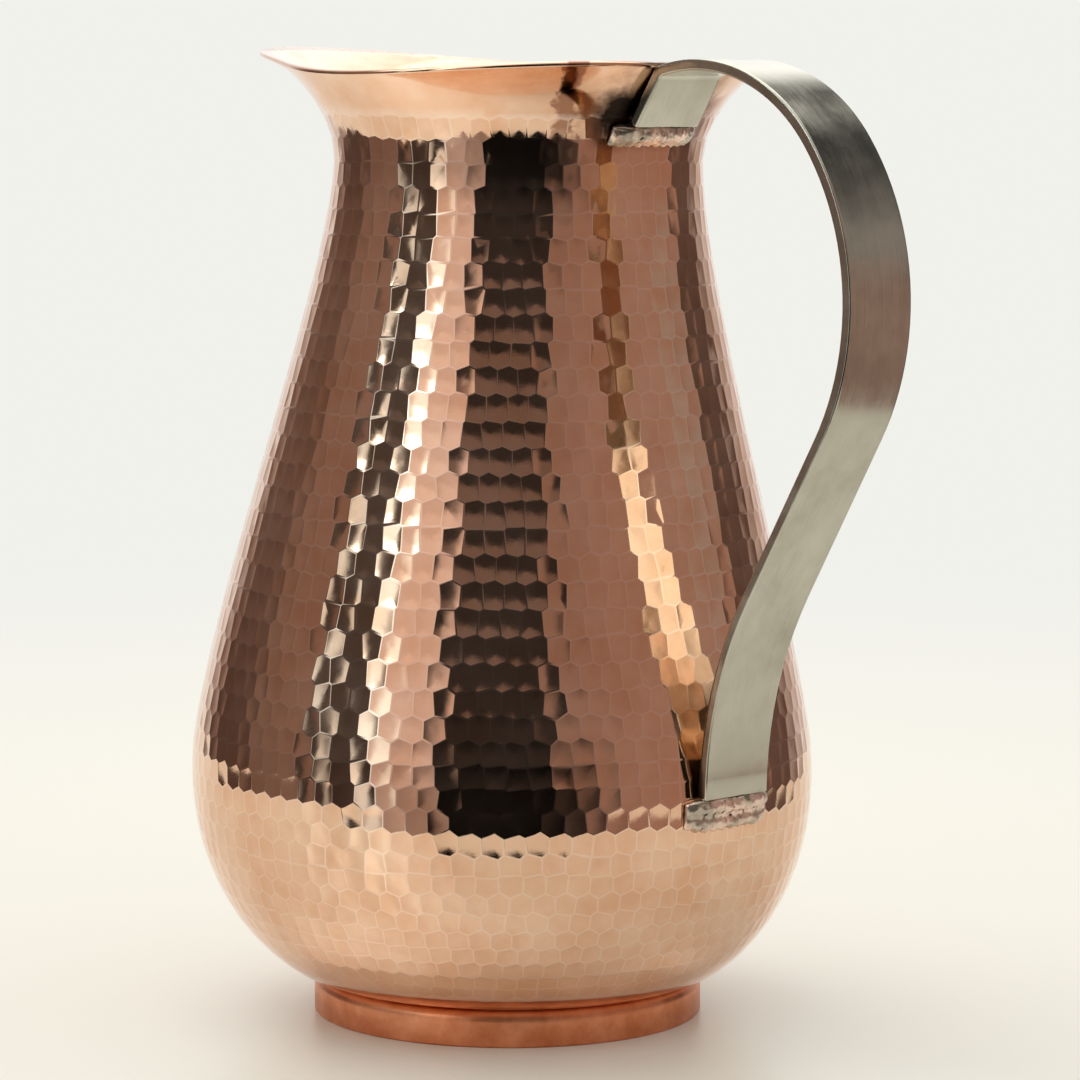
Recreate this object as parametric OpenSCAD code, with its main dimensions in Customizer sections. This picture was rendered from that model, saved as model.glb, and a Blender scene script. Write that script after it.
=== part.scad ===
// Copper water jug: a raised and planished copper body on a foot ring, with a
// flat steel bar bent into its handle and welded on. Millimetres, +Z up. The
// origin is the centre of the foot on the table, the handle points to +X and
// the pouring lip to -X.

/* [Body] */
// Thickness of the copper sheet
sheet_t = 1; // [0.8:0.1:1.4]
// Radius of the belly at its widest
belly_r = 73.6; // [70:0.1:76]
// Height of the widest part of the belly
belly_z = 58; // [54:0.5:62]
// Radius of the neck at its narrowest
neck_r = 43; // [42:0.1:44]
// Height of the narrowest part of the neck
neck_z = 200; // [198:0.5:202]
// Radius of the mouth at its rim
mouth_r = 57.5; // [55:0.1:59]
// Height of the rim
rim_z = 223; // [221:0.5:226]
// Radius of the flat ring under the body, where the belly starts
base_r = 45; // [43:0.5:47]
// Height of the underside of the body above the table
base_z = 8.7; // [7:0.1:10]
// How far the middle of the bottom is pushed up
dome_h = 2; // [0.5:0.1:4]

/* [Lean] */
// Sideways drift of the axis through the belly
belly_drift = -5.8; // [-6:0.1:0]
// Sideways drift of the axis through the shoulder
shoulder_drift = 1.7; // [0:0.1:3]
// Sideways drift of the axis at the rim
rim_drift = 3.3; // [0:0.1:4]

/* [Lip] */
// How far the spout reaches past the round mouth
spout_reach = 22.5; // [10:0.5:26]
// How narrow the spout is, as a power of the cosine
spout_focus = 18; // [8:1:30]
// How far the spout's tip rises above the rim
spout_rise = 3; // [0:0.1:6]
// How far the rim dips on both sides of the spout
side_dip = 2.6; // [0:0.1:4]
// How far the mouth is drawn in beside the spout
side_pinch = 3.5; // [0:0.1:5]
// How far the flare is pressed in behind the handle
tab_press = 4.8; // [4.6:0.1:5.2]

/* [Foot] */
// Radius of the foot
foot_r = 45.8; // [45:0.1:47]
// Thickness of the foot's copper band
foot_t = 1.5; // [1:0.1:2]
// Radius of the foot's rounded shoulder
foot_round = 2.8; // [2:0.1:3.5]
// Width of the flange that carries the body
foot_flange = 3; // [2:0.1:4]
// Leg of the braze fillet inside the foot
braze_leg = 1.6; // [1:0.1:2]

/* [Handle] */
// Width of the flat bar
strap_w = 20; // [18:0.5:24]
// Thickness of the flat bar
strap_t = 2.5; // [2:0.1:3]
// Length of the tab that lies on the flare
tab_l = 12.7; // [12:0.1:13]
// Slope of the tab
tab_slope = 57.6; // [57:0.1:58]
// Radius of the bend at the rim
lip_bend_r = 5; // [4.5:0.1:5.5]
// Slope at which the bar leaves the rim
leave_slope = 14; // [13:0.5:15]
// Radius of the handle's crown
crown_r = 43; // [42:0.5:44]
// Sweep of the crown
crown_sweep = 66.5; // [66:0.5:67]
// Radius of the handle's back
back_r = 59.6; // [59:0.1:60]
// Sweep of the back
back_sweep = 67.5; // [67:0.5:68]
// Length of the straight part below the back
straight_l = 41.6; // [41.2:0.1:42]
// Radius of the tail, which turns down onto the belly
tail_r = 91.5; // [91:0.1:92]

/* [Welds] */
// Height of the bead under the upper tab
upper_drop = 5.6; // [4:0.1:6.5]
// Height of the two passes under the lower end
lower_drop = 7.6; // [6:0.1:9]
// How far a weld bulges past the straight line from bar to copper
weld_bulge = 1.1; // [0.5:0.1:1.5]
// How far a weld runs past the bar's edges
bead_over = 3; // [1:0.1:4]

/* [Hidden] */

copper = "#d08a66";
copper_satin = "#c57a50";
steel = "#a8a294";
braze = "#b9a070";
weld_grey = "#a3968a";

segs = 64;                    // corners of each ring of the shell
seg_a = 360 / segs;
low_rows = 10;                // rings from the base to the belly
waist_rows = 11;              // rings from the belly to the neck
flare_rows = 9;               // rings from the neck to the rim
dome_fr = [0.3, 0.62, 0.86];  // rings of the domed bottom, as parts of base_r
round_fn = 128;

belly_pull_low = 35;          // handles of the profile's curves
base_pull = 5.5;
belly_pull_up = 24.5;
neck_pull_low = 26;
neck_pull_up = 12;
rim_pull = [4.6, 3];

tab_foot = [48.45, 210];      // lower end of the tab's inner face
tab_half_a = 20;              // half angle over which the flare is pressed in
bend_step = 3;                // degrees between points around a bend

bead_wave = 0.25;             // how much a weld's ripples vary its bulge
bead_turn = 137;              // puts the larger and smaller ripples out of order
ripple = 150;                 // degrees of ripple in each millimetre across
edge_ease = 1.5;              // how far behind the bar's edge a weld starts to thin
thin_end = 0.3;               // fullness at a weld's ends
end_fall = 1.2;               // how far a weld's ends drop
weld_face = 20;               // slope of a weld's face
weld_steps = 30;
cut_steps = 9;

// Point at t on a cubic curve with control values a, b, c and d
function curve(a, b, c, d, t) =
    pow(1 - t, 3) * a + 3 * pow(1 - t, 2) * t * b + 3 * (1 - t) * t * t * c + pow(t, 3) * d;

// Outer profile from the bottom's centre to the rim, as [radius, height] points
dome_part = [for (k = dome_fr) [base_r * k, base_z + dome_h * (1 - pow(k / dome_fr[2], 2))]];
low_part = [for (i = [0 : low_rows]) curve([base_r, base_z], [base_r + base_pull, base_z],
    [belly_r, belly_z - belly_pull_low], [belly_r, belly_z], i / low_rows)];
waist_part = [for (i = [1 : waist_rows]) curve([belly_r, belly_z], [belly_r, belly_z + belly_pull_up],
    [neck_r, neck_z - neck_pull_low], [neck_r, neck_z], i / waist_rows)];
flare_part = [for (i = [1 : flare_rows]) curve([neck_r, neck_z], [neck_r, neck_z + neck_pull_up],
    [mouth_r, rim_z] - rim_pull, [mouth_r, rim_z], i / flare_rows)];
outer = concat(dome_part, low_part, waist_part, flare_part);
rows = len(outer);

// Inner profile: each outer point moved in by the sheet's thickness
function run(i) = outer[min(i + 1, rows - 1)] - outer[max(i - 1, 0)];
function inset(i) = let (d = run(i) / norm(run(i)))
    i < len(dome_fr) ? [0, sheet_t] : sheet_t * [-d[1], d[0]];
inner = [for (i = [0 : rows - 1]) outer[i] + inset(i)];

// Drift of the axis towards the handle at height z
function drift(z) = curve(0, belly_drift, shoulder_drift, rim_drift, (z - base_z) / (rim_z - base_z));

// Shape of the lip at angle a, counted from the spout
function near_spout(a) = pow((1 + cos(a)) / 2, spout_focus);
function near_handle(a) = let (b = (180 - abs(a)) / tab_half_a) exp(-b * b);
function beside_spout(a) = pow(sin(a), 2) * (1 + cos(a));
function lip_out(a) = spout_reach * near_spout(a) - side_pinch * beside_spout(a) - tab_press * near_handle(a);
function lip_up(a) = spout_rise * near_spout(a) - side_dip * pow(sin(a), 4) - 0.5 * near_handle(a);
// Share of the lip's shape that reaches ring i
function lip_share(i) = pow(max(0, i - (rows - 1 - flare_rows)) / flare_rows, 3);

function shell_point(p, i, a) = let (r = p[0] + lip_out(a) * lip_share(i))
    [drift(outer[i][1]) - r * cos(a), -r * sin(a), p[1] + lip_up(a) * lip_share(i)];

// Copper body: one closed skin that runs up the outside and down the inside
module body_shell() {
    angles = [for (j = [0 : segs - 1]) j * seg_a - 180];
    pole_out = [drift(base_z), 0, base_z + dome_h];
    skin = concat([for (i = [0 : rows - 1], a = angles) shell_point(outer[i], i, a)],
                  [for (i = [rows - 1 : -1 : 0], a = angles) shell_point(inner[i], i, a)]);
    last = len(skin);
    bands = [for (k = [0 : 2 * rows - 2], j = [0 : segs - 1])
        let (a = k * segs + j, b = k * segs + (j + 1) % segs)
        each [[a, b + segs, b], [a, a + segs, b + segs]]];
    cap_out = [for (j = [0 : segs - 1]) [last, j, (j + 1) % segs]];
    top = last - segs;
    cap_in = [for (j = [0 : segs - 1]) [last + 1, top + (j + 1) % segs, top + j]];
    color(copper)
        polyhedron(points = concat(skin, [pole_out, pole_out + [0, 0, sheet_t]]),
                   faces = concat(bands, cap_out, cap_in), convexity = 8);
}

// Foot: a copper band with a rounded shoulder and a flange under the body
module foot_ring() {
    side_z = base_z - foot_round;
    arc_steps = 8;
    shoulder_c = foot_r - foot_round;
    function shoulder(r) = [for (i = [0 : arc_steps]) let (a = i * 90 / arc_steps)
        [shoulder_c + r * cos(a), side_z + r * sin(a)]];
    flange_r = shoulder_c - foot_flange;
    inside = shoulder(foot_round - foot_t);
    color(copper_satin)
        rotate_extrude($fn = round_fn)
            polygon(concat([[foot_r - foot_t, 0], [foot_r - foot_t / 3, 0], [foot_r, foot_t / 3]],
                shoulder(foot_round), [[flange_r, base_z], [flange_r, base_z - foot_t]],
                [for (i = [arc_steps : -1 : 0]) inside[i]]));
}

// Braze: a fillet in the corner between the foot's flange and the body
module foot_braze() {
    corner_r = foot_r - foot_round - foot_flange;
    leg = min(braze_leg, foot_t);
    fillet = [for (i = [0 : 6]) [corner_r - leg + leg * sin(i * 15), base_z - leg + leg * cos(i * 15)]];
    color(braze)
        rotate_extrude($fn = round_fn) polygon(concat([[corner_r, base_z]], fillet));
}

// One step of the bar's bends: [length, turn], with a clockwise turn positive
function bend(r, turn) = let (n = ceil(abs(turn) / bend_step))
    [for (i = [1 : n]) [abs(2 * r * sin(turn / n / 2)), turn / n]];
bar_steps = concat([[tab_l, 0]], bend(lip_bend_r, tab_slope - leave_slope), bend(crown_r, crown_sweep),
    bend(back_r, back_sweep), [[straight_l, 0]],
    bend(tail_r, leave_slope - crown_sweep - back_sweep + 90));

// Face of the bar that starts on the flare, as points and headings
function walk(i, p, h) = i == len(bar_steps) ? [[p[0], p[1], h]]
    : let (turn = bar_steps[i][1], mid = h - turn / 2,
           q = p + bar_steps[i][0] * [cos(mid), sin(mid)])
      concat([[p[0], p[1], h]], walk(i + 1, q, h - turn));
bar_path = walk(0, tab_foot, tab_slope);
bar_end = bar_path[len(bar_path) - 1];

// Handle: a flat bar bent over its own face, from the flare to the belly
module handle_strap() {
    face = [for (p = bar_path) [p[0], p[1]]];
    back = [for (i = [len(bar_path) - 1 : -1 : 0]) let (p = bar_path[i])
        [p[0], p[1]] + strap_t * [sin(p[2]), -cos(p[2])]];
    color(steel)
        rotate([90, 0, 0])
            translate([0, 0, -strap_w / 2])
                linear_extrude(height = strap_w) polygon(concat(face, back));
}

// Radius of the copper's outer face at height z
body_heights = [for (i = [len(dome_fr) : rows - 1]) [outer[i][1], outer[i][0]]];
function body_x(y, z) = drift(z) + sqrt(pow(lookup(z, body_heights), 2) - y * y);

// How full the weld is across the bar: 1 behind the bar, thin past its edges
function fullness(y) = let (past = max(0, abs(y) - strap_w / 2 + edge_ease) / (bead_over + edge_ease))
    thin_end + (1 - thin_end) * (1 - past * past);

// Outline of a weld at y: from the copper out to the bar's outer corner, down
// over the bulges of its passes, and back up along the copper
function weld_cut(y, inner_corner, outer_corner, drop, passes) =
    let (f = fullness(y),
         top_z = inner_corner[1] - (1 - f) * end_fall,
         low_z = top_z - drop * (0.6 + 0.4 * f) - 0.3 * sin(bead_turn * y),
         top = [body_x(y, top_z), top_z],
         low = [body_x(y, low_z), low_z],
         corner = top + f * ([outer_corner[0], outer_corner[1]] - [body_x(0, inner_corner[1]), inner_corner[1]]),
         out = [cos(weld_face), -sin(weld_face)])
    concat([for (k = [0 : cut_steps - 1]) let (v = k / cut_steps)
                corner + v * (low - corner)
                + out * weld_bulge * f * abs(sin(180 * passes * v)) * (1 + bead_wave * sin(ripple * y + 180 * v))],
           [for (k = [0 : cut_steps - 1]) let (z = low_z + (top_z - low_z) * k / (cut_steps - 1))
                [body_x(y, z), z]]);

// Weld bead across the end of the bar, closed by a flat cut at each end
module weld(inner_corner, outer_corner, drop, passes) {
    half = strap_w / 2 + bead_over;
    ring = 2 * cut_steps;
    ys = [for (i = [0 : weld_steps]) half * (2 * i / weld_steps - 1)];
    points = [for (y = ys) each [for (p = weld_cut(y, inner_corner, outer_corner, drop, passes)) [p[0], y, p[1]]]];
    sides = [for (i = [0 : weld_steps - 1], k = [0 : ring - 1])
        let (a = i * ring + k, b = i * ring + (k + 1) % ring)
        each [[a, b + ring, b], [a, a + ring, b + ring]]];
    last = weld_steps * ring;
    caps = [[for (k = [0 : ring - 1]) k], [for (k = [ring - 1 : -1 : 0]) last + k]];
    color(weld_grey) polyhedron(points = points, faces = concat(sides, caps), convexity = 6);
}

// Upper weld: one bead under the tab, on the root of the flare
module upper_weld() {
    weld(tab_foot, tab_foot + strap_t * [sin(tab_slope), -cos(tab_slope)], upper_drop, 1);
}

// Lower weld: two passes under the square end of the bar, on the belly
module lower_weld() {
    face = [bar_end[0], bar_end[1]];
    weld(face - [strap_t, 0], face, lower_drop, 2);
}

body_shell();
foot_ring();
foot_braze();
handle_strap();
upper_weld();
lower_weld();
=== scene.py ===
import bisect
import math
import random

import bmesh
import bpy
from mathutils import Matrix, Vector, noise
from mathutils.bvhtree import BVHTree


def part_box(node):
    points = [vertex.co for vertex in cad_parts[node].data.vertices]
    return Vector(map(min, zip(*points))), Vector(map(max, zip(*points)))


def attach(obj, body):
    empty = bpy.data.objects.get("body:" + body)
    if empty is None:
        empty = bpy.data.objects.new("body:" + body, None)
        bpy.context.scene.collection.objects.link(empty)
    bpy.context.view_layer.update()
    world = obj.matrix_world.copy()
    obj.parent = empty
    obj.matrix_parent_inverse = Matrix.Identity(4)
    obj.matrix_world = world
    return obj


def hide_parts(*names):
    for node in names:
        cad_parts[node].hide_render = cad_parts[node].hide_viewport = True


# A hammered copper water jug with a welded steel handle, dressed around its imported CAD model.
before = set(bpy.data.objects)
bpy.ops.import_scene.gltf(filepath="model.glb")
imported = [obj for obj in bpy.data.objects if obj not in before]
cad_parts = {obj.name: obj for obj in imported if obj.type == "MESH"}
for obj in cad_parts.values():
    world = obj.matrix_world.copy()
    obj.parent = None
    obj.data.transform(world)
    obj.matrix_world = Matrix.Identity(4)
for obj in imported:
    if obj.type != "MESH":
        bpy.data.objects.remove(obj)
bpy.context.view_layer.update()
mm = 0.001
up = Vector((0, 0, 1))
print("frame loaded")


def linear(hexColour):
    channels = [int(hexColour[i:i + 2], 16) / 255 for i in (1, 3, 5)]
    return [c / 12.92 if c <= 0.04045 else ((c + 0.055) / 1.055) ** 2.4 for c in channels] + [1]


def addNode(tree, kind, settings=None, links=None):
    # a Mix node's two colours are inputs 6 and 7, and its mixed colour is output 2
    node = tree.nodes.new(kind)
    for name, value in (settings or {}).items():
        if name == "stops":  # colour stops of a ramp: place, colour
            ramp = node.color_ramp.elements
            while len(ramp) < len(value):
                ramp.new(1)
            for stop, (place, colour) in zip(ramp, value):
                stop.position = place
                stop.color = linear(colour) if isinstance(colour, str) else colour
        elif isinstance(name, str) and hasattr(node, name):
            setattr(node, name, value)
        else:
            node.inputs[name].default_value = value
    for name, source in (links or {}).items():
        tree.links.new(source, node.inputs[name])
    return node


def startMaterial(name):
    material = bpy.data.materials.new(name)
    material.use_nodes = True
    material.node_tree.nodes.clear()
    return material, material.node_tree


def finishMetal(tree, base, rough, bump):
    shader = addNode(tree, "ShaderNodeBsdfPrincipled", {"Metallic": 1},
                     {"Base Color": base, "Roughness": rough, "Normal": bump}).outputs["BSDF"]
    addNode(tree, "ShaderNodeOutputMaterial", links={"Surface": shader})


def nodeCopy(name):
    # a welded copy of a CAD node; the node itself is left alone
    bm = bmesh.new()
    bm.from_mesh(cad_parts[name].data)
    bmesh.ops.remove_doubles(bm, verts=bm.verts, dist=1e-6)
    bm.normal_update()
    return bm


def finishPiece(bm, name, material, replaced):
    mesh = bpy.data.meshes.new(name)
    for face in bm.faces:
        face.smooth = True
    bm.to_mesh(mesh)
    bm.free()
    piece = bpy.data.objects.new(name, mesh)
    bpy.context.scene.collection.objects.link(piece)
    mesh.materials.append(material)
    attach(piece, "root")
    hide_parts(replaced)
    print(name, "has", sum(len(p.vertices) - 2 for p in mesh.polygons), "triangles")


camera = {
    "turn": 43.915, "pitch": 6.192, "yaw": 0.403, "roll": 0.268,  # degrees
    "away": 1.02748, "height": 0.22298,  # metres
    "lens": 146.44, "sensor": 36,  # mm
}
turn = math.radians(camera["turn"])
towards = Vector((math.cos(turn), -math.sin(turn), 0))
rightward = Vector((math.sin(turn), math.cos(turn), 0))


copperLook = {
    "bright": "#F6CFB2", "deep": "#EDBD9B", "cloudMm": 14,  # clean sheet, and where it has started to darken
    "raggedMm": 5,  # size of the wisps at the edge of every stain
    # heat stain round the upper weld: reach, how far wisps move it, and its edge's start and end past the reach
    "scorch": "#6E3D2A", "scorchMm": 18, "scorchWispMm": 16, "scorchEdgeMm": (14, 2), "scorchShare": 0.92,
    "stainZ": (203, 209),  # mm; heat stains and drip fade in over this height
    # drip stain under the rim: angle from the camera, half width, wander, distance out at which it fades in
    "streak": "#8E5A42", "streakTurn": 14, "streakMm": 2.2, "streakWanderMm": 9, "streakOutMm": (20, 30),
    "streakShare": 0.75,
    # soot beside the tab, with a painted shadow of the gap and a painted dark reflection of the tab: height
    # over the weld's end, wisps, where its edge starts and ends, upward squash
    "sootAndShadow": "#171310", "sootAndShadowUpMm": 3, "sootAndShadowWispMm": 6, "sootAndShadowEdgeMm": (9.5, 6), "sootAndShadowSquash": 0.5,
    "sootAndShadowShare": 0.97,
    "crestHighlight": "#FFE9D8", "crestHighlightShare": 0.45,  # painted highlight along the crests between marks
    "polishMm": 0.35, "polishLean": (0.5, 0.25, 0.3), "polishStretch": (0.25, 0.25, 3.2),
    "roughness": (0.04, 0.1), "scorchDull": 0.25,
}


def copperStains(tree, place, look):
    # masks of heat stain, drip stain, and soot with painted shadow; heat stain and the soot-and-shadow mask are
    # kept to the outer skin
    ragged = addNode(tree, "ShaderNodeTexNoise",
                     {"Scale": 1 / (look["raggedMm"] * mm), "Detail": 5, "Roughness": 0.65},
                     {"Vector": place}).outputs["Fac"]
    low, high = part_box("upper_weld")
    weld = addNode(tree, "ShaderNodeVectorMath", {"operation": "DISTANCE", 1: (low + high) / 2},
                   {0: place}).outputs["Value"]
    near = addNode(tree, "ShaderNodeMath", {"operation": "MULTIPLY_ADD", 1: look["scorchWispMm"] * mm},
                   {0: ragged, 2: weld}).outputs[0]
    start, end = [(look["scorchMm"] + edge) * mm for edge in look["scorchEdgeMm"]]
    scorch = addNode(tree, "ShaderNodeMapRange",
                     {"From Min": start, "From Max": end, "To Max": look["scorchShare"]},
                     {"Value": near}).outputs["Result"]
    # drip stain: a narrow upright band between the rim and the neck
    spun = addNode(tree, "ShaderNodeMapping",
                   {"Rotation": (0, 0, turn - math.radians(look["streakTurn"]))},
                   {"Vector": place}).outputs["Vector"]
    parts = addNode(tree, "ShaderNodeSeparateXYZ", links={"Vector": spun}).outputs
    wander = addNode(tree, "ShaderNodeMath", {"operation": "MULTIPLY_ADD", 1: look["streakWanderMm"] * mm},
                     {0: ragged, 2: parts["Y"]}).outputs[0]
    centred = addNode(tree, "ShaderNodeMath", {"operation": "SUBTRACT", 1: look["streakWanderMm"] / 2 * mm},
                      {0: wander}).outputs[0]
    aside = addNode(tree, "ShaderNodeMath", {"operation": "ABSOLUTE"}, {0: centred}).outputs[0]
    band = addNode(tree, "ShaderNodeMapRange",
                   {"From Min": look["streakMm"] * 1.25 * mm, "From Max": look["streakMm"] * 0.75 * mm,
                    "To Max": look["streakShare"]}, {"Value": aside}).outputs["Result"]
    bottom, top = look["stainZ"]
    tall = addNode(tree, "ShaderNodeMapRange", {"From Min": bottom * mm, "From Max": top * mm},
                   {"Value": parts["Z"]}).outputs["Result"]
    inner, outer = look["streakOutMm"]
    side = addNode(tree, "ShaderNodeMapRange", {"From Min": inner * mm, "From Max": outer * mm},
                   {"Value": parts["X"]}).outputs["Result"]
    # soot with painted shadow: a tall dark smudge up the side of the handle's tab, from the near end of the
    # weld; it paints the gap's shade and the tab's dark reflection together with soot
    end = Vector(((low.x + high.x) / 2, low.y, high.z + look["sootAndShadowUpMm"] * mm))
    offset = addNode(tree, "ShaderNodeVectorMath", {"operation": "SUBTRACT", 1: end}, {0: place}).outputs[0]
    squashed = addNode(tree, "ShaderNodeVectorMath", {"operation": "MULTIPLY", 1: (1, 1, look["sootAndShadowSquash"])},
                       {0: offset}).outputs[0]
    apart = addNode(tree, "ShaderNodeVectorMath", {"operation": "LENGTH"}, {0: squashed}).outputs["Value"]
    apart = addNode(tree, "ShaderNodeMath", {"operation": "MULTIPLY_ADD", 1: look["sootAndShadowWispMm"] * mm},
                    {0: ragged, 2: apart}).outputs[0]
    start, end = look["sootAndShadowEdgeMm"]
    sootAndShadow = addNode(tree, "ShaderNodeMapRange",
                   {"From Min": start * mm, "From Max": end * mm, "To Max": look["sootAndShadowShare"]},
                   {"Value": apart}).outputs["Result"]
    # outer skin: the normal points away from the jug's axis
    facing = addNode(tree, "ShaderNodeNewGeometry").outputs["Normal"]
    flat = addNode(tree, "ShaderNodeVectorMath", {"operation": "MULTIPLY", 1: (1, 1, 0)},
                   {0: place}).outputs[0]
    outward = addNode(tree, "ShaderNodeVectorMath", {"operation": "DOT_PRODUCT"},
                      {0: facing, 1: flat}).outputs["Value"]
    skin = addNode(tree, "ShaderNodeMapRange", {"From Min": 0, "From Max": 4 * mm},
                   {"Value": outward}).outputs["Result"]
    masks = []
    for mask, limits in ((scorch, (tall, skin)), (band, (tall, side)), (sootAndShadow, (skin,))):
        for limit in limits:
            mask = addNode(tree, "ShaderNodeMath", {"operation": "MULTIPLY"}, {0: mask, 1: limit}).outputs[0]
        masks.append(mask)
    return masks


def planishedCopper():
    # copper sheet, hammered then buffed: near-mirror marks with fine buffing lines and faint darker clouds
    look = copperLook
    material, tree = startMaterial("planishedCopper")
    place = addNode(tree, "ShaderNodeTexCoord").outputs["Object"]
    clouds = addNode(tree, "ShaderNodeTexNoise",
                     {"Scale": 1000 / look["cloudMm"], "Detail": 4, "Roughness": 0.6},
                     {"Vector": place}).outputs["Fac"]
    base = addNode(tree, "ShaderNodeValToRGB", {"stops": [(0.35, look["deep"]), (0.62, look["bright"])]},
                   {"Fac": clouds}).outputs["Color"]
    scorch, drip, sootAndShadow = copperStains(tree, place, look)
    # painted highlight: the ridge points between marks are made lighter
    crest = addNode(tree, "ShaderNodeAttribute", {"attribute_name": "crest"}).outputs["Fac"]
    crest = addNode(tree, "ShaderNodeMath", {"operation": "MULTIPLY", 1: look["crestHighlightShare"]}, {0: crest}).outputs[0]
    # last comes the soot with its painted shadow and painted reflection beside the tab
    for colour, mask in (("streak", drip), ("scorch", scorch), ("crestHighlight", crest), ("sootAndShadow", sootAndShadow)):
        base = addNode(tree, "ShaderNodeMix", {"data_type": "RGBA", 7: linear(look[colour])},
                       {0: mask, 6: base}).outputs[2]
    # buffing lines run slantwise round the body
    lean = addNode(tree, "ShaderNodeMapping", {"Rotation": look["polishLean"], "Scale": look["polishStretch"]},
                   {"Vector": place}).outputs["Vector"]
    lines = addNode(tree, "ShaderNodeTexNoise", {"Scale": 1 / (look["polishMm"] * mm), "Detail": 2},
                    {"Vector": lean}).outputs["Fac"]
    mixed = addNode(tree, "ShaderNodeMath", {"operation": "MULTIPLY"}, {0: lines, 1: clouds}).outputs[0]
    low, high = look["roughness"]
    rough = addNode(tree, "ShaderNodeMapRange",
                    {"From Min": 0.1, "From Max": 0.45, "To Min": low, "To Max": high},
                    {"Value": mixed}).outputs["Result"]
    dull = addNode(tree, "ShaderNodeMath", {"operation": "MULTIPLY_ADD", 1: look["scorchDull"]},
                   {0: scorch, 2: rough}).outputs[0]
    bump = addNode(tree, "ShaderNodeBump", {"Strength": 0.1, "Distance": 0.02 * mm},
                   {"Height": lines}).outputs["Normal"]
    finishMetal(tree, base, dull, bump)
    return material


footLook = {"bright": "#F3A880", "deep": "#D8865C", "patchMm": 9, "turnMm": 0.5, "roughness": (0.3, 0.44)}


def satinCopper():
    # copper band, scoured on the wheel: satin, with fine rings and rubbed patches
    look = footLook
    material, tree = startMaterial("satinCopper")
    place = addNode(tree, "ShaderNodeTexCoord").outputs["Object"]
    patches = addNode(tree, "ShaderNodeTexNoise",
                      {"Scale": 1 / (look["patchMm"] * mm), "Detail": 5, "Roughness": 0.65},
                      {"Vector": place}).outputs["Fac"]
    base = addNode(tree, "ShaderNodeValToRGB", {"stops": [(0.35, look["deep"]), (0.65, look["bright"])]},
                   {"Fac": patches}).outputs["Color"]
    squash = addNode(tree, "ShaderNodeMapping", {"Scale": (0.02, 0.02, 1)},
                     {"Vector": place}).outputs["Vector"]
    rings = addNode(tree, "ShaderNodeTexNoise", {"Scale": 1 / (look["turnMm"] * mm), "Detail": 3},
                    {"Vector": squash}).outputs["Fac"]
    low, high = look["roughness"]
    rough = addNode(tree, "ShaderNodeMapRange",
                    {"From Min": 0.3, "From Max": 0.7, "To Min": low, "To Max": high},
                    {"Value": patches}).outputs["Result"]
    bump = addNode(tree, "ShaderNodeBump", {"Strength": 0.35, "Distance": 0.05 * mm},
                   {"Height": rings}).outputs["Normal"]
    finishMetal(tree, base, rough, bump)
    return material


steelLook = {"bright": "#D2CEBE", "deep": "#B6B2A2", "grainMm": 0.3, "patchMm": 11,
             "roughness": (0.13, 0.25)}


def brushedSteel():
    # steel bar, belt-ground along its length: fine lengthwise grain and dull patches
    look = steelLook
    material, tree = startMaterial("brushedSteel")
    place = addNode(tree, "ShaderNodeTexCoord").outputs["Object"]
    along = addNode(tree, "ShaderNodeMapping", {"Scale": (0.02, 1, 0.02)},
                    {"Vector": place}).outputs["Vector"]
    grain = addNode(tree, "ShaderNodeTexNoise", {"Scale": 1 / (look["grainMm"] * mm), "Detail": 3},
                    {"Vector": along}).outputs["Fac"]
    patches = addNode(tree, "ShaderNodeTexNoise",
                      {"Scale": 1 / (look["patchMm"] * mm), "Detail": 4, "Roughness": 0.6},
                      {"Vector": place}).outputs["Fac"]
    mixed = addNode(tree, "ShaderNodeMath", {"operation": "MULTIPLY_ADD", 1: 0.4},
                    {0: grain, 2: patches}).outputs[0]
    base = addNode(tree, "ShaderNodeValToRGB", {"stops": [(0.45, look["deep"]), (0.9, look["bright"])]},
                   {"Fac": mixed}).outputs["Color"]
    low, high = look["roughness"]
    rough = addNode(tree, "ShaderNodeMapRange",
                    {"From Min": 0.5, "From Max": 0.9, "To Min": low, "To Max": high},
                    {"Value": mixed}).outputs["Result"]
    bump = addNode(tree, "ShaderNodeBump", {"Strength": 0.3, "Distance": 0.03 * mm},
                   {"Height": grain}).outputs["Normal"]
    finishMetal(tree, base, rough, bump)
    return material


weldLook = {"bright": "#FBE0CE", "grey": "#C6BBAA", "dark": "#3B2C25", "grainMm": 1.1, "patchMm": 6,
            "roughness": (0.3, 0.75)}


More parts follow.
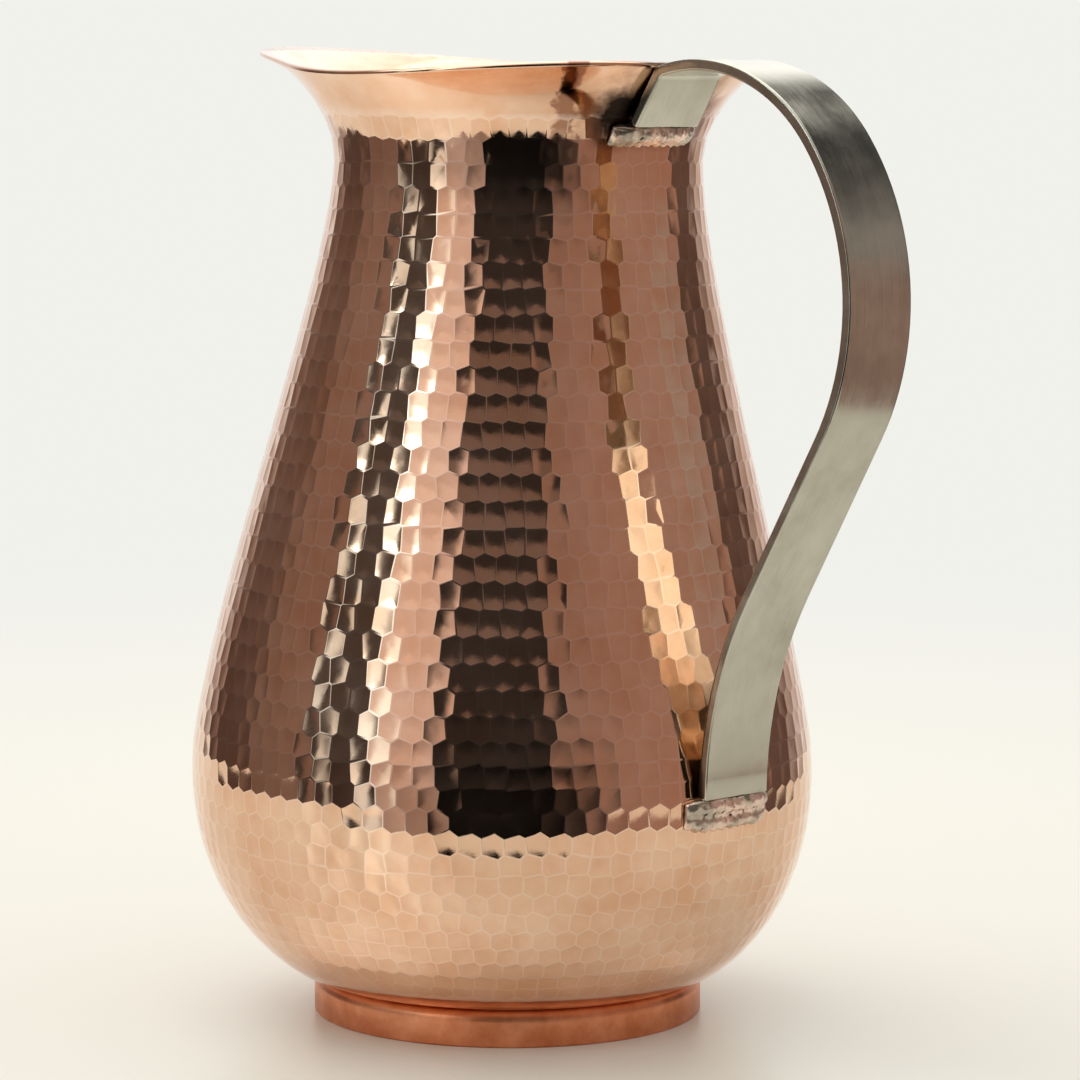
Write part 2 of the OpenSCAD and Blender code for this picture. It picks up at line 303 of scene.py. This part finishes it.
def weldMetal():
    # weld filler, wire-brushed: bright pinkish and greyer patches, darker and rougher in the hollows
    look = weldLook
    material, tree = startMaterial("weldMetal")
    place = addNode(tree, "ShaderNodeTexCoord").outputs["Object"]
    scale = addNode(tree, "ShaderNodeTexNoise",
                    {"Scale": 1 / (look["grainMm"] * mm), "Detail": 6, "Roughness": 0.7},
                    {"Vector": place}).outputs["Fac"]
    patches = addNode(tree, "ShaderNodeTexNoise", {"Scale": 1 / (look["patchMm"] * mm), "Detail": 2},
                      {"Vector": place}).outputs["Fac"]
    clean = addNode(tree, "ShaderNodeValToRGB", {"stops": [(0.4, look["grey"]), (0.55, look["bright"])]},
                    {"Fac": patches}).outputs["Color"]
    hollow = addNode(tree, "ShaderNodeAttribute", {"attribute_name": "hollow"}).outputs["Fac"]
    deep = addNode(tree, "ShaderNodeMath", {"operation": "MULTIPLY_ADD", 1: -0.5},
                   {0: scale, 2: hollow}).outputs[0]
    # darker colour where the surface is hollow, broken up by the fine noise
    darkInHollows = addNode(tree, "ShaderNodeMapRange", {"From Min": 0.1, "From Max": 0.45},
                   {"Value": deep}).outputs["Result"]
    base = addNode(tree, "ShaderNodeMix", {"data_type": "RGBA", 7: linear(look["dark"])},
                   {0: darkInHollows, 6: clean}).outputs[2]
    low, high = look["roughness"]
    rough = addNode(tree, "ShaderNodeMapRange", {"To Min": low, "To Max": high},
                    {"Value": darkInHollows}).outputs["Result"]
    bump = addNode(tree, "ShaderNodeBump", {"Strength": 0.6, "Distance": 0.2 * mm},
                   {"Height": scale}).outputs["Normal"]
    finishMetal(tree, base, rough, bump)
    return material


brazeLook = {"bright": "#D8BB7C", "stain": "#6B4A2C", "stainMm": 2.5, "roughness": (0.6, 0.3)}


def brazeMetal():
    # brass-coloured filler run into the corner: dull yellow with dark flux stains
    look = brazeLook
    material, tree = startMaterial("brazeMetal")
    place = addNode(tree, "ShaderNodeTexCoord").outputs["Object"]
    stains = addNode(tree, "ShaderNodeTexNoise",
                     {"Scale": 1 / (look["stainMm"] * mm), "Detail": 5, "Roughness": 0.7},
                     {"Vector": place}).outputs["Fac"]
    base = addNode(tree, "ShaderNodeValToRGB", {"stops": [(0.35, look["stain"]), (0.6, look["bright"])]},
                   {"Fac": stains}).outputs["Color"]
    stained, clean = look["roughness"]
    rough = addNode(tree, "ShaderNodeMapRange",
                    {"From Min": 0.3, "From Max": 0.7, "To Min": stained, "To Max": clean},
                    {"Value": stains}).outputs["Result"]
    bump = addNode(tree, "ShaderNodeBump", {"Strength": 0.5, "Distance": 0.15 * mm},
                   {"Height": stains}).outputs["Normal"]
    finishMetal(tree, base, rough, bump)
    return material


hammering = {
    "topZ": 213.0, "lowZ": 10.6,  # mm; where the marks end under the flare and above the foot
    # arc length down from topZ: height of a course, and width of a mark, all in mm
    "courses": [(0, 5.3), (50, 6.0), (125, 6.1), (145, 5.2), (175, 4.7), (216, 4.3)],
    "marks": [(0, 4.3), (60, 4.6), (125, 4.8), (145, 5.1), (175, 5.1), (216, 4.6)],
    "stagger": (0.3, 0.7), "jitter": 0.1,  # shift between courses and stray of a mark, as parts of its width
    "rings": [(0.9, 0.19), (0.6, 0.513), (0.3, 0.59)],  # rings of a mark: part of its half width, added depth
    "middle": 0.1,  # added depth of a mark's middle point
    "sink": (0.09, 0.098), "crest": 0.006, "dish": (0.06, 0.09),  # mm
    "tilt": 0.55,  # degrees
    # near the foot: height in mm from which relief grows, height it takes, and the least share kept
    "worn": (14, 12, 0.25),
    "mergeMm": 0.45, "leastShare": 0.06,  # shortest border of a cell, least weight of a blow in its corner
    "seed": 11,
}
shell = {
    # edges of the rim kept fairly square: least angle in radians, least height in metres, and crease
    "squareAngle": 1, "squareFrom": 0.2, "crease": 0.55,
    "baseZ": 9.3, "gapBelowMm": 0.4, "gapAboveMm": 0.5,  # mm; smooth skin taken away behind the marks
}


def between(table, x):
    # straight-line reading of a table of pairs
    k = min(max(bisect.bisect_right([t[0] for t in table], x), 1), len(table) - 1)
    (x0, y0), (x1, y1) = table[k - 1], table[k]
    t = min(max((x - x0) / (x1 - x0), 0), 1)
    return y0 + (y1 - y0) * t


def smoothShell(levels):
    # the CAD shell as an even quad skin, rounded by subdivision
    bm = nodeCopy("body_shell")
    bmesh.ops.join_triangles(bm, faces=bm.faces, angle_face_threshold=3.14, angle_shape_threshold=3.14)
    crease = bm.edges.layers.float.new("crease_edge")
    for edge in bm.edges:
        if edge.calc_face_angle(0) > shell["squareAngle"] and edge.verts[0].co.z > shell["squareFrom"]:
            edge[crease] = shell["crease"]
    mesh = bpy.data.meshes.new("smoothing")
    bm.to_mesh(mesh)
    bm.free()
    holder = bpy.data.objects.new("smoothing", mesh)
    bpy.context.scene.collection.objects.link(holder)
    rounding = holder.modifiers.new("rounding", "SUBSURF")
    rounding.levels = rounding.render_levels = levels
    result = bmesh.new()
    result.from_object(holder, bpy.context.evaluated_depsgraph_get())
    bpy.data.objects.remove(holder)
    bpy.data.meshes.remove(mesh)
    result.normal_update()
    return result


def readProfile(tree, lowZ, highZ):
    # rows of arc length down the wall, centre x, radius and height
    rows, arc, far, step = [], 0, 0.3, 0.25 * mm
    for i in range(int((highZ - lowZ) / step) + 2):
        z = highZ - i * step
        right = tree.ray_cast(Vector((far, 0, z)), Vector((-1, 0, 0)))[0].x
        left = tree.ray_cast(Vector((-far, 0, z)), Vector((1, 0, 0)))[0].x
        row = [0, (left + right) / 2, (right - left) / 2, z]
        if rows:
            arc += math.hypot(row[2] - rows[-1][2], step)
        row[0] = arc
        rows.append(row)
    return rows


def placeBlows(bm, tree, rng):
    # blows go round in courses down the wall, joined here by triangles
    rows = readProfile(tree, hammering["lowZ"] * mm, hammering["topZ"] * mm)
    arcs = [row[0] for row in rows]

    def rowAt(arc):
        k = min(max(bisect.bisect_right(arcs, arc), 1), len(arcs) - 1)
        t = (arc - arcs[k - 1]) / (arcs[k] - arcs[k - 1])
        return [a + (b - a) * t for a, b in zip(rows[k - 1], rows[k])]

    jitter = hammering["jitter"]
    arc, start, loops = 0, 0, []
    while arc < arcs[-1]:
        width = between(hammering["marks"], arc / mm)
        radius = rowAt(arc)[2]
        count = round(math.tau * radius / (width * mm))
        ring = bmesh.ops.create_circle(bm, segments=count, radius=1)["verts"]
        start += rng.uniform(*hammering["stagger"]) * math.tau / count
        for vert in ring:
            angle = math.atan2(vert.co.y, vert.co.x) + start
            angle += rng.uniform(-1, 1) * jitter * math.tau / count
            x, r, z = rowAt(min(max(arc + rng.uniform(-1, 1) * jitter * width * mm, 0), arcs[-1]))[1:]
            spot = Vector((x + r * math.cos(angle), r * math.sin(angle), z))
            vert.co = tree.find_nearest(spot)[0]
        loops.append([edge for vert in ring for edge in vert.link_edges])
        arc += between(hammering["courses"], arc / mm) * mm
    for above, below in zip(loops, loops[1:]):
        bmesh.ops.bridge_loops(bm, edges=list(set(above + below)))
    print("blows", len(bm.verts), "courses", len(loops))
    bmesh.ops.triangulate(bm, faces=bm.faces)


def hammeredWall(tree):
    # each mark is a cell around one blow
    rng = random.Random(hammering["seed"])
    bm = bmesh.new()
    placeBlows(bm, tree, rng)
    # cells: a point in each triangle, joined across the old edges
    blows = set(bm.verts)
    rims = {v for v in bm.verts if v.is_boundary}
    shared = [e for e in bm.edges if not e.is_boundary]
    corners = bmesh.ops.poke(bm, faces=bm.faces)["verts"]
    for corner in corners:
        a, b, c = (e.other_vert(corner).co for e in corner.link_edges)
        corner.co = tree.find_nearest(midOfBlows(a, b, c))[0]
    bmesh.ops.rotate_edges(bm, edges=shared, use_ccw=False)
    bmesh.ops.delete(bm, geom=list(rims), context="VERTS")
    bmesh.ops.dissolve_verts(bm, verts=[v for v in bm.verts if v in blows and v.is_valid])
    bmesh.ops.remove_doubles(bm, verts=bm.verts, dist=hammering["mergeMm"] * mm)
    bmesh.ops.recalc_face_normals(bm, faces=bm.faces)
    middles = [(f, f.calc_center_median()) for f in bm.faces]
    if sum(f.normal.x * middle.x + f.normal.y * middle.y for f, middle in middles) < 0:
        bmesh.ops.reverse_faces(bm, faces=bm.faces)
    cells = list(bm.faces)
    border = [e for e in bm.edges if e.is_boundary]
    shapeMarks(bm, cells, tree, rng)
    return bm, border


def midOfBlows(a, b, c):
    # point as far from each of three blows, held inside their triangle
    sides = [(b - c).length_squared, (c - a).length_squared, (a - b).length_squared]
    total = sum(sides)
    weights = [s * (total - 2 * s) for s in sides]
    weights = [max(w / sum(weights), hammering["leastShare"]) for w in weights]
    return (a * weights[0] + b * weights[1] + c * weights[2]) / sum(weights)


def shapeMarks(bm, cells, tree, rng):
    # nearly flat dishes, each tipped a little by the hammer, that meet in soft ridges
    blows, meeting = [], {}
    wornFrom, wornOver, leastRelief = hammering["worn"]
    # the crest layer marks the ridge points, where the copper gets a painted highlight
    crest = bm.verts.layers.float.new("crest")
    for face in cells:
        middle = face.calc_center_median()
        spot, normal = tree.find_nearest(middle)[:2]
        soft = min(max((spot.z / mm - wornFrom) / wornOver, leastRelief), 1)
        tip = Vector([rng.gauss(0, 1) for k in range(3)]) * math.radians(hammering["tilt"]) * soft
        facing = (normal + tip).normalized()
        blow = (spot - normal * rng.uniform(*hammering["sink"]) * mm * soft, facing,
                rng.uniform(*hammering["dish"]) * mm * soft)
        blows.append(blow)
        for vert in face.verts:
            meeting.setdefault(vert, []).append(blow)
    for vert, met in meeting.items():
        normal = tree.find_nearest(vert.co)[1]
        rise = sum((point - vert.co).dot(facing) for point, facing, dish in met) / len(met)
        vert.co += normal * min(rise + hammering["crest"] * mm, 0)
        vert[crest] = 1
    # rings of each mark, shrunk towards its middle and let down along the bowl of the dish
    outer = 1
    for part, deeper in hammering["rings"]:
        bmesh.ops.inset_individual(bm, faces=cells, thickness=0.001 * mm, use_even_offset=False)
        for face, (point, facing, dish) in zip(cells, blows):
            reach = sum((v.co - point).length for v in face.verts) / len(face.verts)
            for vert in face.verts:
                way = vert.co - point
                rounded = min(0.5 * (1 + reach / way.length), 1) if outer == 1 else 1
                vert.co = point + way * (part / outer) * rounded - facing * dish * deeper
                vert[crest] = 0
        outer = part
    dishes = {vert: blow for face, blow in zip(cells, blows) for vert in face.verts}
    for centre in bmesh.ops.poke(bm, faces=cells)["verts"]:
        point, facing, dish = dishes[centre.link_edges[0].other_vert(centre)]
        centre.co -= facing * dish * hammering["middle"]
        centre[crest] = 0


def makeBody():
    fine = smoothShell(2)
    tree = BVHTree.FromBMesh(fine)
    fine.free()
    wall, border = hammeredWall(tree)
    body = smoothShell(1)
    rows = readProfile(tree, hammering["lowZ"] * mm, hammering["topZ"] * mm)
    drift = [(-row[3], row[1]) for row in rows]  # depth below zero height: the axis's x there
    highest = max(v.co.z for e in border for v in e.verts)
    lowest = min(v.co.z for e in border for v in e.verts)

    def outside(face):
        spot = face.calc_center_median()
        away = Vector((spot.x - between(drift, -spot.z), spot.y, 0)).normalized()
        return face.normal.dot(away) > 0 or spot.z < shell["baseZ"] * mm

    bottom, top = lowest - shell["gapBelowMm"] * mm, highest + shell["gapAboveMm"] * mm
    gone = [f for f in body.faces if outside(f) and any(bottom < v.co.z < top for v in f.verts)]
    bmesh.ops.delete(body, geom=gone, context="FACES")
    print("left of the smooth skin", len(body.faces))
    mesh = bpy.data.meshes.new("wall")
    wall.to_mesh(mesh)
    wall.free()
    body.verts.layers.float.new("crest")
    body.from_mesh(mesh)
    bpy.data.meshes.remove(mesh)
    openEdges = [e for e in body.edges if e.is_boundary]
    middleZ = (highest + lowest) / 2
    upper = [e for e in openEdges if e.verts[0].co.z > middleZ]
    lower = [e for e in openEdges if e.verts[0].co.z <= middleZ]
    for part in (upper, lower):
        bmesh.ops.bridge_loops(body, edges=part)
    bmesh.ops.triangulate(body, faces=[f for f in body.faces if len(f.verts) > 4])
    print("open edges left", sum(e.is_boundary for e in body.edges))
    finishPiece(body, "jugBody", planishedCopper(), "body_shell")


makeBody()


footShape = {
    "wobbleMm": 0.12, "wobbleAcross": 0.03,  # depth of the waves in mm, and their size in metres
    "bottomMm": 2, "topMm": 1,  # heights left true at the bottom and the top
}


def makeFoot():
    low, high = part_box("foot_ring")
    bottom, top = low.z + footShape["bottomMm"] * mm, high.z - footShape["topMm"] * mm
    bm = nodeCopy("foot_ring")
    bmesh.ops.dissolve_limit(bm, angle_limit=0.003, verts=bm.verts, edges=bm.edges)
    bmesh.ops.triangulate(bm, faces=[f for f in bm.faces if len(f.verts) > 4])
    for vert in bm.verts:
        shift = noise.noise_vector(vert.co / footShape["wobbleAcross"]) * (footShape["wobbleMm"] * mm)
        if bottom < vert.co.z < top:
            vert.co -= Vector((vert.co.x, vert.co.y, 0)).normalized() * abs(shift.x)
    finishPiece(bm, "jugFoot", satinCopper(), "foot_ring")


makeFoot()
finishPiece(nodeCopy("foot_braze"), "footBraze", brazeMetal(), "foot_braze")


handleShape = {"edgeMm": 0.45, "edgeSteps": 3, "supportMm": 0.25}


def makeHandle():
    # the bar with its long edges rounded, and narrow supports beside them that keep its faces flat
    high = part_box("handle_strap")[1]
    bm = nodeCopy("handle_strap")
    bmesh.ops.dissolve_limit(bm, angle_limit=math.radians(0.5), verts=bm.verts, edges=bm.edges)
    rounded = [e for e in bm.edges if e.calc_face_angle(0) > math.radians(60)]
    bmesh.ops.bevel(bm, geom=rounded, offset=handleShape["edgeMm"] * mm, offset_type="OFFSET",
                    segments=handleShape["edgeSteps"], profile=0.5, affect="EDGES", material=-1)
    inner = high.y - (handleShape["edgeMm"] + handleShape["supportMm"]) * mm
    for side in (-1, 1):
        bmesh.ops.bisect_plane(bm, geom=bm.verts[:] + bm.edges[:] + bm.faces[:],
                               plane_co=(0, side * inner, 0), plane_no=(0, side, 0))
    sides = [f for f in bm.faces if len(f.verts) > 20]
    bmesh.ops.inset_individual(bm, faces=sides, thickness=handleShape["supportMm"] * mm)
    bmesh.ops.triangulate(bm, faces=sides)
    finishPiece(bm, "handleStrap", brushedSteel(), "handle_strap")


makeHandle()


# cuts in each edge longer than edgeMm; lumps, and finer ones as parts of their size and height
weldShape = {"cuts": 2, "edgeMm": 0.55, "lumpMm": 2.4, "lumpHigh": 0.3, "fineSize": 0.4, "fineHigh": 0.5,
             "hollowMm": 0.2}


def makeWeld(node, name):
    # the bead cut finer, then lumps from the filler's puddles; each point notes how deep in a hollow it lies
    shape = weldShape
    bm = nodeCopy(node)
    low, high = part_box(node)
    longer = [e for e in bm.edges if e.calc_length() > shape["edgeMm"] * mm]
    bmesh.ops.subdivide_edges(bm, edges=longer, cuts=shape["cuts"], use_grid_fill=True)
    bmesh.ops.triangulate(bm, faces=bm.faces)
    bmesh.ops.smooth_vert(bm, verts=bm.verts, factor=0.5, use_axis_x=True, use_axis_y=True, use_axis_z=True)
    bm.normal_update()
    for vert in bm.verts:
        lump = noise.noise(vert.co / (shape["lumpMm"] * mm))
        lump += shape["fineHigh"] * noise.noise(vert.co / (shape["fineSize"] * shape["lumpMm"] * mm))
        vert.co += vert.normal * lump * shape["lumpHigh"] * mm
    for vert in bm.verts:
        vert.co = [min(max(c, a), b) for c, a, b in zip(vert.co, low, high)]
    bm.normal_update()
    hollow = bm.verts.layers.float.new("hollow")
    for vert in bm.verts:
        ring = {e.other_vert(vert) for e in vert.link_edges}
        ring |= {e.other_vert(v) for v in ring for e in v.link_edges}
        middle = sum((v.co for v in ring), Vector()) / len(ring)
        vert[hollow] = (middle - vert.co).dot(vert.normal) / (shape["hollowMm"] * mm)
    finishPiece(bm, name, weldMetal(), node)


makeWeld("upper_weld", "upperWeld")
makeWeld("lower_weld", "lowerWeld")


def makeCamera():
    pitch, yaw, roll = (math.radians(camera[k]) for k in ("pitch", "yaw", "roll"))
    ahead = -towards * math.cos(yaw) + rightward * math.sin(yaw)
    side = Vector((ahead.y, -ahead.x, 0))
    look = ahead * math.cos(pitch) - up * math.sin(pitch)
    top = up * math.cos(pitch) + ahead * math.sin(pitch)
    level, upright = side * math.cos(roll) + top * math.sin(roll), -side * math.sin(roll) + top * math.cos(roll)
    axes = (level, upright, -look)
    data = bpy.data.cameras.new("camera")
    data.lens, data.sensor_width, data.clip_start = camera["lens"], camera["sensor"], 0.01
    holder = bpy.data.objects.new("camera", data)
    bpy.context.scene.collection.objects.link(holder)
    place = Matrix.Translation(towards * camera["away"] + up * camera["height"])
    holder.matrix_world = place @ Matrix(axes).transposed().to_4x4()
    bpy.context.scene.camera = holder


studio = {
    "paper": "#F1F1EC", "floorMatt": "#EEEAE1", "floorSheen": "#F8F6F0",
    "sheenRough": 0.3, "sheenShare": 0.22,
    # metres: near floor's front and sides, wide floor's size and drop, where the floor fades to plain paper
    "floorFront": 0.245, "floorSides": (-0.55, 0.32),
    "floorSize": 6, "floorDrop": -0.0002, "floorFade": (0.2, 1.0),
    # softbox: power, size in metres, place to the right, towards the camera and up, height it is aimed at
    "keyPower": 4.5, "keySize": 1.1, "keyPlace": (-0.5, -0.35, 1.2), "keyAim": 0.05,
    # what stands round the jug, seen in its mirror: angle from the camera (plus is to the right), light and
    # warmth; warmth is the share of green taken away, and blue loses more by the factor blueLoss
    "blueLoss": 1.3,
    "low": [(-180, 0.9, 0), (-152, 0.8, 0), (-146, 0.45, 0.1), (-138, 0.2, 0.3), (-132, 0.09, 0.3),
            (-112, 0.09, 0.3), (-106, 0.17, 0.3), (-78, 0.2, 0.3), (-76, 0.05, 0.2), (-72, 0.05, 0.2),
            (-71, 0.4, -0.1), (-68, 0.4, -0.1), (-67, 0.06, 0.2), (-53, 0.04, 0.2), (-51, 0.8, -0.1),
            (-46, 0.8, -0.1), (-44, 0.5, 0.15), (-33, 0.35, 0.2), (-26, 0.3, 0.2), (-22, 0.006, 0),
            (16, 0.004, 0), (30, 0.05, 0.2), (36, 0.2, 0.3), (44, 0.3, 0.33), (60, 0.34, 0.35),
            (108, 0.34, 0.35), (112, 0.12, 0.3), (130, 0.12, 0.3), (150, 0.6, 0.1), (165, 0.9, 0)],
    "high": [(-180, 1.3, 0), (-165, 0.9, 0), (-146, 0.5, 0.1), (-138, 0.22, 0.25), (-112, 0.14, 0.3),
             (-106, 0.2, 0.3), (-98, 0.24, 0.3), (-80, 0.24, 0.3), (-78, 0.07, 0.1), (-74, 0.07, 0.1),
             (-73, 0.9, -0.15), (-70, 0.9, -0.15), (-69, 0.07, 0.1), (-54, 0.07, 0.1), (-52, 1.3, -0.15),
             (-48, 1.3, -0.15), (-45, 0.75, 0.15), (-27, 0.65, 0.18), (-23, 0.03, 0.1), (18, 0.03, 0.1),
             (20, 0.26, 0.3), (50, 0.32, 0.33), (88, 0.34, 0.25), (94, 0.34, 0.1), (102, 0.3, 0.1),
             (108, 0.3, 0.3), (112, 0.08, 0.25), (130, 0.08, 0.2), (134, 0.4, 0.1), (150, 0.8, 0),
             (165, 1.3, 0), (180, 1.3, 0)],
    "steep": [(-180, 1.6, 0), (-165, 0.9, 0), (-146, 0.5, 0.1), (-138, 0.22, 0.25), (-106, 0.22, 0.3),
              (-80, 0.26, 0.3), (-78, 0.12, 0.1), (-74, 0.12, 0.1), (-73, 4, -0.15), (-70.5, 4, -0.15),
              (-69, 0.12, 0.1), (-54, 0.12, 0.1), (-52, 4, -0.15), (-48.5, 4, -0.15), (-45, 0.9, 0.12),
              (-26, 0.75, 0.15), (-23, 0.17, 0.25), (18, 0.17, 0.25), (20, 0.27, 0.3), (50, 0.32, 0.33),
              (90, 0.34, 0.25), (97, 0.28, 0.05), (100, 0.13, 0.04), (109, 0.06, 0.03), (122, 0.06, 0.03),
              (138, 0.1, 0.03), (153, 0.18, 0.03), (159, 0.45, 0), (163, 1, 0), (168, 1.5, 0)],
    "top": [(-180, 2.2, 0), (-60, 1.4, 0), (0, 0.8, 0), (60, 0.6, 0), (96, 0.6, 0), (110, 0.9, 0),
            (125, 1.6, 0), (140, 2.2, 0), (180, 2.2, 0)],
    # upward part of a direction, 0 level and 1 straight up, over which one belt passes into the next
    "highFrom": (0.04, 0.22), "steepFrom": (0.337, 0.347), "topFrom": (0.69, 0.73),
}


def makeSurround():
    # plain paper to the camera and to diffuse light, belts of light and dark in the metal's mirror
    world = bpy.data.worlds.new("studio")
    bpy.context.scene.world = world
    world.use_nodes = True
    tree = world.node_tree
    tree.nodes.clear()
    way = addNode(tree, "ShaderNodeTexCoord").outputs["Generated"]
    spun = addNode(tree, "ShaderNodeMapping", {"Rotation": (0, 0, turn)}, {"Vector": way}).outputs["Vector"]
    parts = addNode(tree, "ShaderNodeSeparateXYZ", links={"Vector": spun}).outputs
    angle = addNode(tree, "ShaderNodeMath", {"operation": "ARCTAN2"},
                    {0: parts["Y"], 1: parts["X"]}).outputs[0]
    place = addNode(tree, "ShaderNodeMapRange", {"From Min": -math.pi, "From Max": math.pi},
                    {"Value": angle}).outputs["Result"]
    belts = []
    for belt in ("low", "high", "steep", "top"):
        stops = [((a + 180) / 360, (light, light * (1 - warm), light * (1 - studio["blueLoss"] * warm), 1))
                 for a, light, warm in studio[belt]]
        belts.append(addNode(tree, "ShaderNodeValToRGB", {"stops": stops}, {"Fac": place}).outputs["Color"])
    seen = belts[0]
    for belt, (start, end) in zip(belts[1:], (studio["highFrom"], studio["steepFrom"], studio["topFrom"])):
        rise = addNode(tree, "ShaderNodeMapRange", {"From Min": start, "From Max": end},
                       {"Value": parts["Z"]}).outputs["Result"]
        seen = addNode(tree, "ShaderNodeMix", {"data_type": "RGBA"}, {0: rise, 6: seen, 7: belt}).outputs[2]
    mirrored = addNode(tree, "ShaderNodeBackground", {"Strength": 1}, {"Color": seen}).outputs[0]
    plain = addNode(tree, "ShaderNodeBackground",
                    {"Color": linear(studio["paper"]), "Strength": 1}).outputs[0]
    glossy = addNode(tree, "ShaderNodeLightPath").outputs["Is Glossy Ray"]
    both = addNode(tree, "ShaderNodeMixShader", links={0: glossy, 1: plain, 2: mirrored}).outputs[0]
    addNode(tree, "ShaderNodeOutputWorld", links={"Surface": both})


def studioPaper():
    # matt paper with a slight sheen near the jug, fading into the plain surround
    paper, tree = startMaterial("studioPaper")
    place = addNode(tree, "ShaderNodeTexCoord").outputs["Object"]
    away = addNode(tree, "ShaderNodeVectorMath", {"operation": "LENGTH"}, {0: place}).outputs["Value"]
    start, end = studio["floorFade"]
    far = addNode(tree, "ShaderNodeMapRange",
                  {"From Min": start, "From Max": end, "interpolation_type": "SMOOTHSTEP"},
                  {"Value": away}).outputs["Result"]
    matt = addNode(tree, "ShaderNodeBsdfDiffuse", {"Color": linear(studio["floorMatt"])}).outputs[0]
    sheen = addNode(tree, "ShaderNodeBsdfAnisotropic",
                    {"Color": linear(studio["floorSheen"]), "Roughness": studio["sheenRough"]}).outputs[0]
    near = addNode(tree, "ShaderNodeMixShader", {0: studio["sheenShare"]}, {1: matt, 2: sheen}).outputs[0]
    flat = addNode(tree, "ShaderNodeEmission", {"Color": linear(studio["paper"])}).outputs[0]
    both = addNode(tree, "ShaderNodeMixShader", links={0: far, 1: near, 2: flat}).outputs[0]
    addNode(tree, "ShaderNodeOutputMaterial", links={"Surface": both})
    return paper


def makeFloor():
    # the metal mirrors a floor that ends before the jug and at its sides;
    # a wider one just below shows to the camera only
    paper = studioPaper()
    wide = studio["floorSize"]
    for name, front, sides, drop in (("floorNear", studio["floorFront"], studio["floorSides"], 0),
                                     ("floorWide", wide / 2, (-wide / 2, wide / 2), studio["floorDrop"])):
        bm = bmesh.new()
        bmesh.ops.create_grid(bm, x_segments=1, y_segments=1, size=0.5)
        reach = Vector((front + wide / 2, sides[1] - sides[0], 1))
        middle = Vector(((front - wide / 2) / 2, (sides[0] + sides[1]) / 2, drop))
        stretch = Matrix.Translation(middle) @ Matrix.Diagonal(reach).to_4x4()
        bm.transform(Matrix.Rotation(-turn, 4, "Z") @ stretch)
        mesh = bpy.data.meshes.new(name)
        bm.to_mesh(mesh)
        bm.free()
        floor = bpy.data.objects.new(name, mesh)
        bpy.context.scene.collection.objects.link(floor)
        mesh.materials.append(paper)
        floor.visible_glossy = drop == 0


def makeLight():
    # one big soft light from the upper left, behind the jug
    data = bpy.data.lights.new("softbox", "AREA")
    data.shape, data.size, data.energy = "SQUARE", studio["keySize"], studio["keyPower"]
    lamp = bpy.data.objects.new("softbox", data)
    bpy.context.scene.collection.objects.link(lamp)
    right, ahead, high = studio["keyPlace"]
    lamp.location = rightward * right + towards * ahead + up * high
    lamp.rotation_euler = (up * studio["keyAim"] - lamp.location).to_track_quat("-Z", "Y").to_euler()
    lamp.visible_camera = lamp.visible_glossy = False


makeCamera()
makeSurround()
makeFloor()
makeLight()
bpy.context.scene.view_settings.view_transform = "Standard"
print("studio ready")
